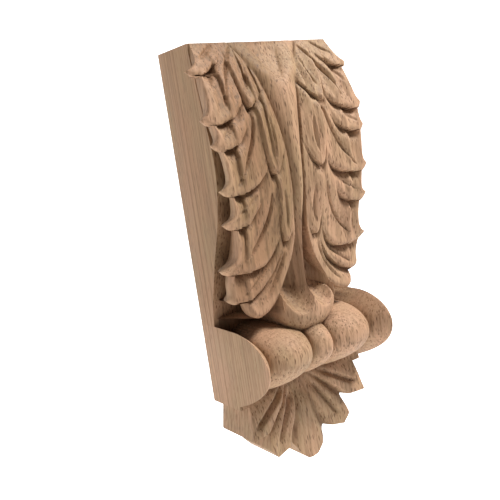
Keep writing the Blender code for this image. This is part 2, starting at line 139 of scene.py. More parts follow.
# %% Lower outlines of the lobes
# Lower outline of each lobe of the right half of the leaf, as (x, z), from its inner end to its outer end
LOBES = (
    ((20.5, 131), (22.3, 127.4), (25, 124.4), (29, 122), (33.5, 120.9), (36, 121), (37.4, 122.6)),
    ((17.8, 114), (18.8, 111.6), (20.6, 109.4), (23.6, 106.9), (27.5, 105.2), (32.5, 104.4), (35.8, 104.8),
     (37.5, 106.6)),
    ((6, 123), (7.4, 119.4), (9.6, 115.6), (12.4, 112.2), (15, 109.9), (17.2, 109), (18.6, 111.6),
     (19.8, 118), (20.6, 128)),
    ((18.4, 106), (19.8, 102.6), (22.4, 99.2), (26, 97), (30.5, 96), (34, 96.4), (35.8, 98)),
    ((13.2, 91), (14.4, 87.2), (16.6, 84.4), (20, 82.2), (25, 80.9), (30, 80.6), (33.8, 81.3), (35.5, 83)),
    ((3.6, 97), (5, 92.8), (7, 89), (9.4, 86), (11.5, 85.1), (13.2, 88), (14.4, 95), (15, 104)),
    ((17.4, 81), (18.6, 76.6), (21, 72.8), (24.6, 70), (29, 68.9), (33.4, 69.5), (35.4, 71.4)),
    ((9.4, 67), (11.2, 61), (13.6, 56.6), (17, 53.6), (21.4, 52.3), (26, 52), (30, 52.2), (34, 52.9),
     (36.2, 54.8)),
    ((3, 69), (4, 64.6), (5.6, 61.4), (7.6, 60), (9.4, 63), (10.6, 70), (11.2, 80)),
    ((8.6, 60), (12, 52.6), (16.5, 47), (21.5, 43.4), (25, 41.8), (29, 41.2), (31.6, 41.6), (32.8, 43)),
    ((3, 58), (5, 51.6), (8, 45.4), (12, 40.2), (16, 36.8), (20, 35), (23.4, 34.7), (25, 35.8), (25.8, 38),
     (26.2, 41)),
)
# A lobe's lip is on the crest, and it is hollowed this much from there to under the lobe above it
SINK = 2.0
SINK_AT_STEM = 1.0
SINK_FULL_AT = 20.0
SINK_AT_SIDE = 0.1
SINK_SIDE_WIDTH = 5.0
SINK_LENGTH = 15.0
SINK_POWER = 2.2
# Under each lip a groove is cut in the lobe below, deepest at the lip, and it runs out at the lip's two ends
UNDER_LIP = 3.0
UNDER_LIP_LENGTH = 5.5
UNDER_LIP_INNER_END = 6.0
UNDER_LIP_OUTER_END = 2.0
EDGE_ROUND = 1.9
LIP_DROP = 1.3
SIDE_ROUND = 1.2
SIDE_DROP = 0.5
# The side of the leaf between its tips, as (z, x), and the height in which a lobe flares out from it
LEAF_SIDE = ((40, 30.4), (47, 31.6), (60, 30.2), (77, 31), (90, 32.1), (100, 32.9), (108, 34), (117, 33.4),
             (TOP, 31.2))
TIP_FLARE = 1.5
# Where the leaf's undercut side meets the ground, as (z, x), and how high the side is where that begins.
# Behind the lowest lobe, below z 60, it goes further in than in the plain solid
FOOT = ((34, 17.0), (40, 19.5), (45, 24.5), (60, 26.0), (76, 26.0), (90, 27.5), (100, 30.2), (106, 31.4),
        (112, 31.8), (TOP, 31.8))
LOW_SIDE = 2.5
# The slope of a lobe's outline is taken from this far to each side of a place
SLOPE_REACH = 0.05


def lobe_side(outline, z):
    """How far out a lobe goes: to its tip, and above it back to the side of the leaf, by a falling
    exponential."""
    last, tip_z = outline[-1]
    side = curve_through(LEAF_SIDE, z)
    return np.minimum(last, side + (last - side) * np.exp(-np.clip(z - tip_z, 0, None) / TIP_FLARE))


def lobe_covers(outline, x, z):
    """True above the lobe's lower outline, from its inner end out to its side."""
    return (z > curve_through(outline, x)) & (x >= outline[0][0]) & (x <= lobe_side(outline, z))


def lobe(outline, x, z):
    """Depth of one lobe, and nothing outside it. Its lip and its side lie on the crest and are rounded off by
    a square curve. From the lip upwards the lobe is hollow between the stem and the side of the leaf."""
    lowest = min(z_of for _, z_of in outline)
    above = z - curve_through(outline, x)
    rise = curve_through(outline, x + SLOPE_REACH) - curve_through(outline, x - SLOPE_REACH)
    slope = rise / (2 * SLOPE_REACH)
    from_lip = above / np.sqrt(1 + slope ** 2)
    from_side = lobe_side(outline, z) - x
    fade = ease((TOP - z) / SINK_FADE_AT_TOP)
    sink = SINK_AT_STEM + (SINK - SINK_AT_STEM) * ease(x / SINK_FULL_AT)
    sink *= SINK_AT_SIDE + (1 - SINK_AT_SIDE) * ease(from_side / SINK_SIDE_WIDTH)
    up = np.clip((z - lowest) / SINK_LENGTH, 0, 1)
    depth = crest(x, z) - fade * sink * (1 - (1 - up) ** SINK_POWER)
    depth -= LIP_DROP * np.clip(1 - from_lip / EDGE_ROUND, 0, 1) ** 2
    depth -= SIDE_DROP * np.clip(1 - from_side / SIDE_ROUND, 0, 1) ** 2 * fade
    return np.where(lobe_covers(outline, x, z), depth, -np.inf)


def under_lip(outline, x, z):
    """Depth of the groove under a lobe's lip: it falls off downwards by a square curve, and towards the lip's
    two ends."""
    below = curve_through(outline, x) - z
    outer_end = np.minimum(curve_through(LEAF_SIDE, z), outline[-1][0])
    inner = ease((x - outline[0][0]) / UNDER_LIP_INNER_END)
    outer = ease((outer_end - x) / UNDER_LIP_OUTER_END)
    falling = np.clip(1 - below / UNDER_LIP_LENGTH, 0, 1) ** 2
    return np.where(below > 0, UNDER_LIP * inner * outer * falling, 0)


print(len(LOBES), "lobes in each half, with", sum(len(outline) for outline in LOBES), "points drawn")

# %% [markdown]
# The veins are single strokes of a narrow gouge. Each starts fine, is deepest in its middle
# and runs out again, so it is a curve with a V cut whose depth and width follow its length.

# %% Veins
# Veins cut in the leaf: start, bend and end of each, and its depth
VEINS = (
    ((22.5, 132), (26, 129), (31, 126.2), 1.1),
    ((15.5, 131), (23, 122), (27.4, 109.6), 1.7),
    ((25, 126), (28.5, 121), (31, 115), 1.1),
    ((13.6, 125.5), (14.6, 119.5), (16.6, 114.6), 1.1),
    ((25.5, 103.6), (28.5, 101.4), (31.5, 99.6), 0.8),
    ((16.6, 107), (17.2, 95), (28.6, 83.2), 1.8),
    ((10.6, 105), (8.6, 97), (10.4, 89.6), 1.2),
    ((20, 79), (24, 75.8), (30, 73.4), 0.8),
    ((13.6, 79), (14, 67), (26, 56.4), 1.8),
    ((8, 79), (6.2, 72), (7.2, 64.4), 1.1),
    ((12.4, 58), (17, 49.4), (27, 44), 1.3),
    ((8.4, 57), (10.6, 48), (18.8, 39.4), 1.5),
)
VEIN_HALF_WIDTH = 0.95
# Share of a vein's width that is left at its ends, and the points that its curve is followed by
VEIN_END_SHARE = 0.35
VEIN_POINTS = 25
# The leaf slopes down to the stem on each side
VALLEY_DEPTH = 1.9
VALLEY_WIDTH = 3.2
VALLEY_FOOT = 55.0
VALLEY_FULL = 75.0


def cut(line, half_width, x, z):
    """1 on the curved line, falling to 0 at half_width from it and towards both its ends."""
    t = np.linspace(0, 1, VEIN_POINTS)[:, None]
    start, bend, end = np.array(line, float)
    points = (1 - t) ** 2 * start + 2 * t * (1 - t) * bend + t ** 2 * end
    step = np.diff(points, axis=0)
    offset_x = x[:, None] - points[:-1, 0]
    offset_z = z[:, None] - points[:-1, 1]
    on_step = np.clip((offset_x * step[:, 0] + offset_z * step[:, 1]) / (step ** 2).sum(axis=1), 0, 1)
    away = np.hypot(offset_x - on_step * step[:, 0], offset_z - on_step * step[:, 1])
    nearest = away.argmin(axis=1)
    row = np.arange(len(x))
    along = (nearest + on_step[row, nearest]) / len(step)
    narrow = np.sqrt(np.clip(4 * along * (1 - along), 0, 1))
    reach = half_width * (VEIN_END_SHARE + (1 - VEIN_END_SHARE) * narrow)
    return narrow * np.clip(1 - away[row, nearest] / reach, 0, 1)


def leaf(x, z):
    """The highest lobe at each point between the stem's edge and the side of the leaf, less the grooves under
    the lips and the veins."""
    depth = np.full(x.shape, -np.inf)
    groove = np.zeros(x.shape)
    for outline in LOBES:
        depth = np.maximum(depth, lobe(outline, x, z))
        groove = np.maximum(groove, under_lip(outline, x, z))
    depth -= groove * ease((TOP - z) / SINK_FADE_AT_TOP)
    for start, bend, end, vein_depth in VEINS:
        depth -= vein_depth * cut((start, bend, end), VEIN_HALF_WIDTH, x, z)
    past_edge = x - curve_through(STEM_EDGE, z)
    valley = VALLEY_DEPTH * np.exp(-np.clip(past_edge, 0, None) / VALLEY_WIDTH)
    valley *= ease((z - VALLEY_FOOT) / (VALLEY_FULL - VALLEY_FOOT)) * ease((TOP - z) / SINK_FADE_AT_TOP)
    depth -= valley
    return np.where(past_edge > 0, depth, -np.inf)


print(len(VEINS), "veins in each half")

# %% [markdown]
# The stem parts into two bands at the top, is a rounded stalk in the middle, and lower down
# sharpens to a ridge between two hollows. One rule with soft steps between its three shapes
# makes it, because the real one changes without a seam.

# %% The stem
# Half the width of the stem between the two halves of the leaf, as (z, half width)
STEM_EDGE = ((30, 11.5), (36, 12.6), (41, 12.0), (45, 10.0), (50, 7.2), (55, 5.0), (60, 3.7), (66, 2.9),
             (83, 3.3), (96, 4.3), (102, 5.3), (109, 6.6), (119, 9.2), (126, 12.4), (TOP, 16.0))
# Height of the stem's middle line
STEM_RIDGE = ((29, 28.4), (33, 28.4), (37, 28.4), (45, 27.4), (55, 27.7), (64, 28.9), (81, 31.9), (102, 31.8),
              (119, 28.3), (TOP, 20.2))
STEM_CROWN = 3.0
BAND_CROWN = 1.5
BAND_CROWN_AT_TOP = 0.8
STEM_FOOT = 34.0
STEM_OVERLAP = 0.3
STALK_POWER = 2.2
# Lower down the stem is a sharp ridge, and two hollows run down beside it into the spoon
HOLLOW_DEPTH = 7.6
HOLLOW_CENTRE = 6.3
HOLLOW_TOP = 80.0
HOLLOW_FULL = 46.0
# The two bands of the fork part at this height, and at the top the gap is this wide to each side
FORK = 116.0
FORK_RUN_IN = 6.0
FORK_GAP = 6.8
FORK_GAP_DEPTH = 0.6
FORK_POWER = 0.9
# A band is never taken to be narrower than this
BAND_LEAST = 0.1


def hollow(x):
    """How far the two hollows beside the ridge lie below it: a parabola that is deepest at HOLLOW_CENTRE."""
    return HOLLOW_DEPTH * (1 - (1 - np.clip(x / HOLLOW_CENTRE, 0, 2)) ** 2)


def stem(x, z):
    """The stem: two bands that part towards the top, one rounded stalk in the middle,
    and from there down a sharp ridge between two hollows."""
    edge = curve_through(STEM_EDGE, z)
    side = np.clip(x / edge, 0, 1)
    fork = np.clip((z - FORK) / (TOP - FORK), 0, 1)
    gap = FORK_GAP * fork ** FORK_POWER
    band = np.clip((x - gap) / np.maximum(edge - gap, BAND_LEAST), 0, 1)
    parted = ease((z - FORK) / FORK_RUN_IN)
    fade = ease((TOP - z) / FORK_RUN_IN)
    band_crown = BAND_CROWN_AT_TOP + (BAND_CROWN - BAND_CROWN_AT_TOP) * fade
    crown = STEM_CROWN * (1 - parted) * side ** STALK_POWER + band_crown * parted * (2 * band - 1) ** 2
    crown += FORK_GAP_DEPTH * parted * fade * (x < gap)
    lower = ease((HOLLOW_TOP - z) / (HOLLOW_TOP - HOLLOW_FULL))
    crown = (1 - lower) * crown + lower * hollow(x)
    on_stem = (x < edge + STEM_OVERLAP) & (z > STEM_FOOT)
    return np.where(on_stem, curve_through(STEM_RIDGE, z) - crown, -np.inf)


stem_widths = 2 * curve_through(STEM_EDGE, np.linspace(STEM_FOOT, TOP, 200))
print("the stem is", stem_widths.min().round(1), "mm wide at its narrowest")

# %% [markdown]
# The spoon is a ball's front with a bowl cut in its upper part, so its lower lip stays thick
# and round, as on the real piece.

# %% The spoon
# The spoon that the stem ends in: the front of a ball, with the two hollows run out over its upper part
SPOON_CENTRE_Z = 33.4
SPOON_HALF_WIDTH = 13.6
SPOON_HALF_HEIGHT = 9.3
SPOON_BACK = 25.5
SPOON_FRONT = 31.9
SCOOP_TOP = 43.0
SCOOP_RUN_OUT = 10.5
SCOOP_LENGTH = 11.0
SCOOP_FLOOR = 19.5
SCOOP_POWER = 1.8


def spoon(x, z):
    """The spoon under the stem: the front of a ball, cut by the two hollows, which rise in it and run out
    over its lip."""
    out = (x / SPOON_HALF_WIDTH) ** 2 + ((z - SPOON_CENTRE_Z) / SPOON_HALF_HEIGHT) ** 2
    ball = SPOON_BACK + (SPOON_FRONT - SPOON_BACK) * np.sqrt(np.clip(1 - out, 0, 1))
    rise = SCOOP_RUN_OUT * np.clip((SCOOP_TOP - z) / SCOOP_LENGTH, 0, 2) ** SCOOP_POWER
    scoop = curve_through(STEM_RIDGE, z) - hollow(x) + rise
    return np.where(out < 1, np.minimum(ball, np.maximum(scoop, SCOOP_FLOOR)), -np.inf)


print("the spoon is", 2 * SPOON_HALF_WIDTH, "mm wide")

# %% [markdown]
# The rolls look turned: a bead in the middle, a ball on each side of it and a half ball at each
# end. They share one side profile, and only its size changes along the row. So the row is that
# profile, scaled about the row's axis by a share that depends on x.

# %% The turned row
# The turned row: where one element ends and the next begins
ROW_GROOVES = (5.2, 25.8)
ROW_WAIST = 0.67
BEAD_RADIUS = 0.83
BALL_RADIUS = 0.88
# The rounder an element, the nearer its power is to a half
BEAD_POWER = 0.5
BALL_POWER = 0.6
END_POWER = 0.85
ROLL_AXIS_Z = 15.0
ROLL_PEAK_Z = 19.2
ROLL_BACK = 12.8
ROLL_CORNER = 30.8
ROLL_CORNER_DROP = 0.7
ROLL_TOP_DEPTH = 19.2
ROLL_UNDER_POWER = 2.2


def row_radius(x):
    """Share of the full radius along the turned row: a bead, a ball and an end roll that widens up to the
    side of the slab, with a waist between."""
    bead_end, ball_end = ROW_GROOVES
    from_ball = (x - (bead_end + ball_end) / 2) / (ball_end - bead_end) * 2
    bead = (BEAD_RADIUS - ROW_WAIST) * np.clip(1 - (x / bead_end) ** 2, 0, 1) ** BEAD_POWER
    ball = (BALL_RADIUS - ROW_WAIST) * np.clip(1 - from_ball ** 2, 0, 1) ** BALL_POWER
    end = (1 - ROW_WAIST) * np.clip((x - ball_end) / (HALF_WIDTH - ball_end), 0, 1) ** END_POWER
    return ROW_WAIST + np.maximum(np.maximum(bead, ball), end)


def rolls(x, z):
    """The turned row: the end roll's side profile, scaled about the row's axis by the radius at x. Its front
    edge is rounded off at the side of the slab."""
    radius = row_radius(x)
    level = ROLL_AXIS_Z + (z - ROLL_AXIS_Z) / radius
    upper = np.clip((level - ROLL_PEAK_Z) / (ROLL_TOP - ROLL_PEAK_Z), 0, 1)
    lower = np.clip((ROLL_PEAK_Z - level) / ROLL_PEAK_Z, 0, 1)
    profile = np.where(level > ROLL_PEAK_Z,
                       ROLL_TOP_DEPTH + (ROLL_FRONT - ROLL_TOP_DEPTH) * np.sqrt(1 - upper ** 2),
                       ROLL_BACK + (ROLL_FRONT - ROLL_BACK) * (1 - lower ** ROLL_UNDER_POWER))
    depth = ROLL_BACK + (profile - ROLL_BACK) * radius
    corner = np.clip((x - ROLL_CORNER) / (HALF_WIDTH - ROLL_CORNER), 0, 1) ** 2
    depth -= ROLL_CORNER_DROP * corner * ease((depth - ROLL_TOP_DEPTH) / (ROLL_FRONT - ROLL_TOP_DEPTH))
    return np.where((level > 0) & (level < ROLL_TOP), depth, -np.inf)


radii = row_radius(np.array([0.0, ROW_GROOVES[0], sum(ROW_GROOVES) / 2, HALF_WIDTH]))
print("share of the full radius at the bead, a groove, a ball and the side:", radii.round(2))

# %% [markdown]
# The hanging leaf has five lobes that fan out from one point behind the bead. In polar
# terms it is easy: its relief depends on the angle, and it comes forward with the distance.

# %% The hanging leaf
# Outline of the pendant leaf: (x where its line leaves the block, x of the outline, z of the outline)
FAN_FROM = 6.4
PENDANT = ((32.0, 32.0, 0.0), (28.3, 27.6, 0.0), (24.6, 30.0, -12.6), (17.2, 19.4, -12.0),
           (14.8, 21.4, -20.6), (12.3, 18.2, -24.4), (6.15, 8.8, -22.0), (3.7, 5.8, -28.6),
           (1.3, 2.6, -31.6), (0.0, 0.0, -PENDANT_DROP))
FAN_CENTRE_Z = 8.0
FAN_DEPTH = 12.6
FAN_SLOPE = 0.07
FAN_SLOPE_AT_SIDE = 0.12
# The slope is that of the side from this angle on, in degrees from the middle
FAN_SIDE_ANGLE = 40.0
# The relief starts at this distance from the fan's centre, and is full this much further out
RELIEF_START = 7.0
RELIEF_RUN_IN = 12.0
# Relief of the pendant leaf round its fan, as (degrees from the middle, height)
FAN_RELIEF = ((0, 2.6), (9, 2.3), (15, 1.2), (17.5, 2.6), (24, 2.5), (30, 2.0), (35, 2.4), (39, 1.8),
              (43, 0.2), (44.5, 0.2), (46.5, 3.4), (50, 4.2), (58, 3.8), (66, 3.2), (76, 1.6), (90, 0.4))
PENDANT_VEINS = (30.0, 58.0)
VEIN_DEPTH = 1.7
VEIN_WIDTH = 1.5
VEIN_START = 11.0
VEIN_RUN_IN = 5.0
VEIN_END = 33.0
VEIN_RUN_OUT = 4.0
NOTCH_VALLEY = 16.7
NOTCH_VALLEY_DEPTH = 1.9
NOTCH_VALLEY_WIDTH = 4.5
NOTCH_VALLEY_FROM = 21.0
NOTCH_VALLEY_RUN_IN = 7.0


def pendant(x, z):
    """The pendant leaf: it comes forward towards its tips. Its relief fans out from one point: a broad middle
    lobe that parts from the next one near the notch, a vein, a ridge, and the outer lobe over them."""
    down = FAN_CENTRE_Z - z
    reach = np.hypot(x, down)
    angle = np.degrees(np.arctan2(x, np.maximum(down, 0.01)))
    relief = curve_through(FAN_RELIEF, angle) * ease((reach - RELIEF_START) / RELIEF_RUN_IN)
    notch = np.clip(1 - np.abs(angle - NOTCH_VALLEY) / NOTCH_VALLEY_WIDTH, 0, 1)
    relief -= NOTCH_VALLEY_DEPTH * ease((reach - NOTCH_VALLEY_FROM) / NOTCH_VALLEY_RUN_IN) * notch
    for vein in PENDANT_VEINS:
        away = np.abs(np.radians(angle - vein)) * reach
        ends = ease((reach - VEIN_START) / VEIN_RUN_IN) * ease((VEIN_END - reach) / VEIN_RUN_OUT)
        relief -= VEIN_DEPTH * ends * np.clip(1 - away / VEIN_WIDTH, 0, 1)
    slope = FAN_SLOPE + (FAN_SLOPE_AT_SIDE - FAN_SLOPE) * ease(angle / FAN_SIDE_ANGLE)
    return FAN_DEPTH + slope * reach + relief


print("the hanging leaf has", len(PENDANT_VEINS), "veins in each half")

# %% [markdown]
# Now the face is the highest of all these surfaces at each place, which is just how the
# carver leaves it: each form stands where nothing in front of it was left.

# %% The whole face
# Below this height only the row and the hanging leaf are left
PENDANT_BELOW = 8.0


def face_depth(x, z):
    """Depth of the carved face at each point: the highest of ground, leaf, stem, spoon and row, and below the
    row the pendant."""
    x = np.abs(x)
    depth = np.maximum(curve_through(GROUND, z), leaf(x, z))
    depth = np.maximum(depth, np.maximum(stem(x, z), spoon(x, z)))
    depth = np.where(z < PENDANT_BELOW, pendant(x, z), depth)
    return np.maximum(depth, rolls(x, z))


# Shares of half the grid's columns, from the centre line out: up to the first they keep their place, from
# there to the second they follow the leaf's border, from there to the third they go down its side, and the
# rest lies on the ground
STRETCH_FROM = 0.58
BORDER_AT = 24 / 26
FOOT_AT = 25 / 26
STRETCH_POWER = 1.3
# The undercut ends at least this far inside the border
UNDERCUT_LEAST = 0.2
# The leaf's border is looked for from one of these places to the other, in steps
LEAF_STARTS = 18.0
LEAF_ENDS = 39.0
LEAF_STEP = 0.1
# The first step back from the rim of the face
RIM_STEP = 0.6


def face_reach(z):
    """How far out the leaf goes at each height: the outermost place that a lobe covers, or 0 where none
    is."""
    places = np.arange(LEAF_STARTS, LEAF_ENDS, LEAF_STEP)
    x = np.tile(places, len(z))
    heights = np.repeat(z, len(places))
    covered = np.zeros(x.shape, bool)
    for outline in LOBES:
        covered |= lobe_covers(outline, x, heights)
    return np.where(covered.reshape(len(z), -1), places, 0).max(axis=1)


def place_on_face(u, v):
    """x, depth and z of a grid point. u runs from -1 to 1 across. v runs from 1 at the top to 0 where the
    pendant's lines leave the block, and on to -1 at the outline of the foot."""
    z = FAN_FROM + (TOP - FAN_FROM) * v
    share = np.abs(u)
    heights, row = np.unique(z.round(6), return_inverse=True)
    border = face_reach(heights)[row.reshape(-1)]
    plain = share * HALF_WIDTH
    out = np.clip((share - STRETCH_FROM) / (BORDER_AT - STRETCH_FROM), 0, 1)
    on_leaf = plain + (border - BORDER_AT * HALF_WIDTH) * out ** STRETCH_POWER
    down = np.clip((share - BORDER_AT) / (FOOT_AT - BORDER_AT), 0, 1)
    along = np.clip((share - FOOT_AT) / (1 - FOOT_AT), 0, 1)
    leaf_rows = border > 0
    ground = curve_through(GROUND, z)
    at_border = face_depth(border, z)
    level_foot = (np.minimum(border, HALF_WIDTH) + HALF_WIDTH) / 2
    undercut_foot = np.minimum(curve_through(FOOT, z), border - UNDERCUT_LEAST)
    foot = level_foot + (undercut_foot - level_foot) * ease((at_border - ground) / LOW_SIDE)
    x = on_leaf + (foot - border) * down ** 2 + (HALF_WIDTH - foot) * along
    x = np.where(share > BORDER_AT, x - (plain - BORDER_AT * HALF_WIDTH), x)
    x = np.where(leaf_rows, x, plain)
    front = face_depth(np.where(leaf_rows, np.minimum(x, border), x), z)
    side = at_border + (ground - at_border) * down
    depth = np.where(leaf_rows & (share > BORDER_AT), side, front)
    leaves, outline_x, outline_z = np.array(PENDANT[::-1]).T
    below = np.clip(-v, 0, 1)
    fan_x = plain + (np.interp(plain, leaves, outline_x) - plain) * below
    fan_z = FAN_FROM + (np.interp(plain, leaves, outline_z) - FAN_FROM) * below
    fan_depth = face_depth(fan_x, fan_z)
    on_fan = v <= 0
    return (np.sign(u) * np.where(on_fan, fan_x, x), np.where(on_fan, fan_depth, depth),
            np.where(on_fan, fan_z, z))


# %% [markdown]
# A hand-carved piece is never quite the same on both sides. A slow wave of less than half a
# millimetre moves the pattern a little, differently on the left and on the right, and a gouge
# leaves faint flats. Both are added to the places and depths before the mesh is made.

# %% The carver's hand
WANDER = 0.35
# Each wave as (length / 2 pi in mm, shift): along z and across x for the move sideways, and across x and
# along z for the move upwards
SIDEWAYS_WAVES = ((9.0, 0.4), (17.0, 1.0))
UPWARD_WAVES = ((11.0, 1.3), (14.0, 0.0))
WANDER_FADE = 8.0
FLAT_HEIGHT = 0.05
# Ripples of the gouge, as length / 2 pi in mm across and along, and how far each swings with the slow wave
# after it
FLAT_ACROSS = 0.9
SWING_ACROSS = 0.7
SWING_ACROSS_LENGTH = 5.0
FLAT_ALONG = 2.3
SWING_ALONG = 0.8
SWING_ALONG_LENGTH = 4.0


def wander(x, z, on_leaf):
    """x and z, each moved by the product of a slow sine and a slow cosine of x and z, at most WANDER mm, and
    by nothing near the row and the top."""
    share = WANDER * on_leaf * ease((z - ROLL_TOP) / WANDER_FADE) * ease((TOP - z) / WANDER_FADE)
    (along, shift_along), (across, shift_across) = SIDEWAYS_WAVES
    sideways = share * np.sin(z / along + shift_along) * np.cos(x / across + shift_across)
    (across, shift_across), (along, shift_along) = UPWARD_WAVES
    upwards = share * np.sin(x / across + shift_across) * np.cos(z / along + shift_along)
    return x + sideways, z + upwards


def gouge_flats(x, z):
    """Low ripples of a flat gouge: the product of two sines across each other, FLAT_HEIGHT high."""
    across = np.sin(x / FLAT_ACROSS + SWING_ACROSS * np.sin(z / SWING_ACROSS_LENGTH))
    along = np.sin(z / FLAT_ALONG + SWING_ALONG * np.sin(x / SWING_ALONG_LENGTH))
    return FLAT_HEIGHT * across * along


print("the pattern wanders by up to", WANDER, "mm")

# %% [markdown]
# The mesh is one grid over the face, fine enough that a vein has several cells across, and
# a few rings round its rim that run back along the slab's sides to the flat back. A plain height
# map can't have an undercut, so the grid's last columns turn down the leaf's side and under it.

# %% The carved mesh
FACE_COLUMNS = 260
FACE_ROWS = 290
FOOT_ROWS = 60
BACK_CHAMFER = 0.4
SIDE_RINGS = (0.5, 1.0)
# Edges that turn by more degrees than this stay sharp
SHARP_FROM = 55.0


def carved_face():
    """Points of the face as rows, columns, xyz in mm: depth at each place of a grid."""
    u = np.linspace(-1, 1, FACE_COLUMNS + 1)
    v = np.concatenate([np.linspace(1, 0, FACE_ROWS + 1), -np.linspace(0, 1, FOOT_ROWS + 1)[1:]])
    down, across = np.meshgrid(v, u, indexing="ij")
    x, depth, z = place_on_face(across.ravel(), down.ravel())
    depth = depth + gouge_flats(x, z)
    x, z = wander(x, z, ease((1 - np.abs(across.ravel())) / (1 - FOOT_AT)))
    return np.stack([x, -depth, z], axis=1).reshape(len(v), len(u), 3)


def rim_of(rows, columns):
    """Indexes of the grid's rim, once round: along the top, down, back along the foot and up."""
    index = np.arange(rows * columns).reshape(rows, columns)
    return np.concatenate([index[0, :], index[1:, -1], index[-1, -2::-1], index[-2:0:-1, 0]])


def side_rings(rim):
    """Rings of points from the rim straight back to y = 0, with a small chamfer at the back edge."""
    first = rim.copy()
    first[:, 1] += RIM_STEP
    rings = [first]
    for share in SIDE_RINGS:
        ring = first.copy()
        ring[:, 1] = first[:, 1] * (1 - share) - BACK_CHAMFER * share
        rings.append(ring)
    back = first.copy()
    inward = np.array([0.0, 0.0, first[:, 2].mean()]) - first
    inward[:, 1] = 0
    back += BACK_CHAMFER * inward / np.linalg.norm(inward, axis=1)[:, None]
    back[:, 1] = 0
    return rings + [back]


def ring_faces(first, second):
    """Four-sided faces between two rings of vertex numbers."""
    return np.stack([first, second, np.roll(second, -1), np.roll(first, -1)], axis=1)


face = carved_face()
rows, columns, _ = face.shape
index = np.arange(rows * columns).reshape(rows, columns)
face_cells = np.stack([index[:-1, :-1], index[1:, :-1], index[1:, 1:], index[:-1, 1:]], axis=-1)
rim = rim_of(rows, columns)
rings = side_rings(face.reshape(-1, 3)[rim])
numbers = [rim] + [rows * columns + number * len(rim) + np.arange(len(rim)) for number in range(len(rings))]
side_cells = np.concatenate([ring_faces(a, b) for a, b in zip(numbers, numbers[1:])])
points = np.concatenate([face.reshape(-1, 3), *rings]) * MM

carving_mesh = bpy.data.meshes.new("carving")
cells = face_cells.reshape(-1, 4).tolist() + side_cells.tolist() + [numbers[-1].tolist()]
carving_mesh.from_pydata(points, [], cells)
carving_mesh.update()
carving_mesh.shade_smooth()
carving_mesh.set_sharp_from_angle(angle=np.radians(SHARP_FROM))
carving = bpy.data.objects.new("carving", carving_mesh)
bpy.context.scene.collection.objects.link(carving)
triangles = sum(len(polygon.vertices) - 2 for polygon in carving_mesh.polygons)
print("carved mesh:", len(points), "points,", triangles, "triangles")

# %% [markdown]
# Deep cuts are painted darker, as shade that the lights alone don't give there, and raised
# places are mixed toward pink. The mesh can say where they are: a place is hollow where the
# face lies behind the average of the face around it, and raised where it stands before it.
# That average is a box blur, worked out with running sums, and the results go to the mesh as attributes for
# the wood to read.

# %% Where the cuts are deep, for the painted shade
BLUR_CELLS = 6
# A place this many mm behind or before the average gets the full painted shade or the full pink
HOLLOW_AT = 2.2
# Past the leaf's border the face is its side, where only this share of the painted shade counts
SIDE_SHADE_SHARE = 0.15


def box_blur(values, reach):
    """Average over a square of 2 * reach + 1 cells: differences of running sums along both sides."""
    for axis in (0, 1):
        padded = np.concatenate([np.repeat(values.take([0], axis), reach + 1, axis), values,
                                 np.repeat(values.take([-1], axis), reach, axis)], axis)
        total = padded.cumsum(axis)
        size = values.shape[axis]
        ahead = total.take(np.arange(2 * reach + 1, 2 * reach + 1 + size), axis)
        behind = total.take(np.arange(size), axis)
        values = (ahead - behind) / (2 * reach + 1)
    return values


depth = -face[:, :, 1]
around = box_blur(box_blur(depth, BLUR_CELLS), BLUR_CELLS)
# Painted shade: the further a place lies behind the face around it, the darker its colour is painted
painted_shade_share = np.clip((around - depth) / HOLLOW_AT, 0, 1)
past_border = np.abs(np.linspace(-1, 1, columns)) > BORDER_AT
painted_shade_share[:, past_border] *= SIDE_SHADE_SHARE
# The further a place stands before the face around it, the more its colour is mixed toward pink
raised_pink = np.clip((depth - around) / HOLLOW_AT, 0, 1)
for name, values in (("hollow", painted_shade_share), ("raised_pink", raised_pink)):
    attribute = carving_mesh.attributes.new(name, "FLOAT", "POINT")
    everywhere = np.zeros(len(points), np.float32)
    everywhere[:rows * columns] = values.ravel()
    attribute.data.foreach_set("value", everywhere)
print("some hollow on", round(float((painted_shade_share > 0).mean()) * 100), "% of the face")

# %% [markdown]
# Rubberwood is a pale, pinkish straw colour with faint stripes along the grain and short open
# pores, which show as dark dashes on a face along the grain and as dots where the cut crosses
# it. A pattern that fills space does both by itself: the pores are long thin cells standing
# along z, read in object coordinates, so every cut through the block shows them rightly. The
# sawn sides, which face sideways, show fewer of them. A browner band of painted shade runs up through the
# left half, which the light from the right reaches less, and over the spoon in the leaf's shadow, from the
# spoon's height on.

# %% Helpers for material nodes
def node(tree, kind, settings=None, **inputs):
    """A node of that kind, with its settings. Each input is set to a value or joined to another node's
    output. It goes by its name or, as i0, i1 and so on, by its number."""
    made = tree.nodes.new(kind)
    for name, value in (settings or {}).items():
        setattr(made, name, value)
    for name, value in inputs.items():
        numbered = name[0] == "i" and name[1:].isdigit()
        socket = made.inputs[int(name[1:]) if numbered else name]
        if isinstance(value, bpy.types.NodeSocket):
            tree.links.new(value, socket)
        else:
            socket.default_value = value
    return made


def grey(level):
    """The grey whose three parts are all that level."""
    return (level, level, level)


def ramp(tree, value, *stops):
    """A colour ramp on a value, from (place, colour) stops."""
    made = node(tree, "ShaderNodeValToRGB", Fac=value)
    band = made.color_ramp
    while len(band.elements) < len(stops):
        band.elements.new(1.0)
    for element, (place, colour) in zip(band.elements, stops):
        element.position = place
        element.color = (*colour, 1)
    return made.outputs["Color"]


def mix(tree, share, first, second, blend="MIX"):
    """Two colours mixed by a share."""
    made = node(tree, "ShaderNodeMix", {"data_type": "RGBA", "blend_type": blend}, Factor=share)
    for socket, value in ((made.inputs[6], first), (made.inputs[7], second)):
        if isinstance(value, bpy.types.NodeSocket):
            tree.links.new(value, socket)
        else:
            socket.default_value = (*value, 1)
    return made.outputs[2]


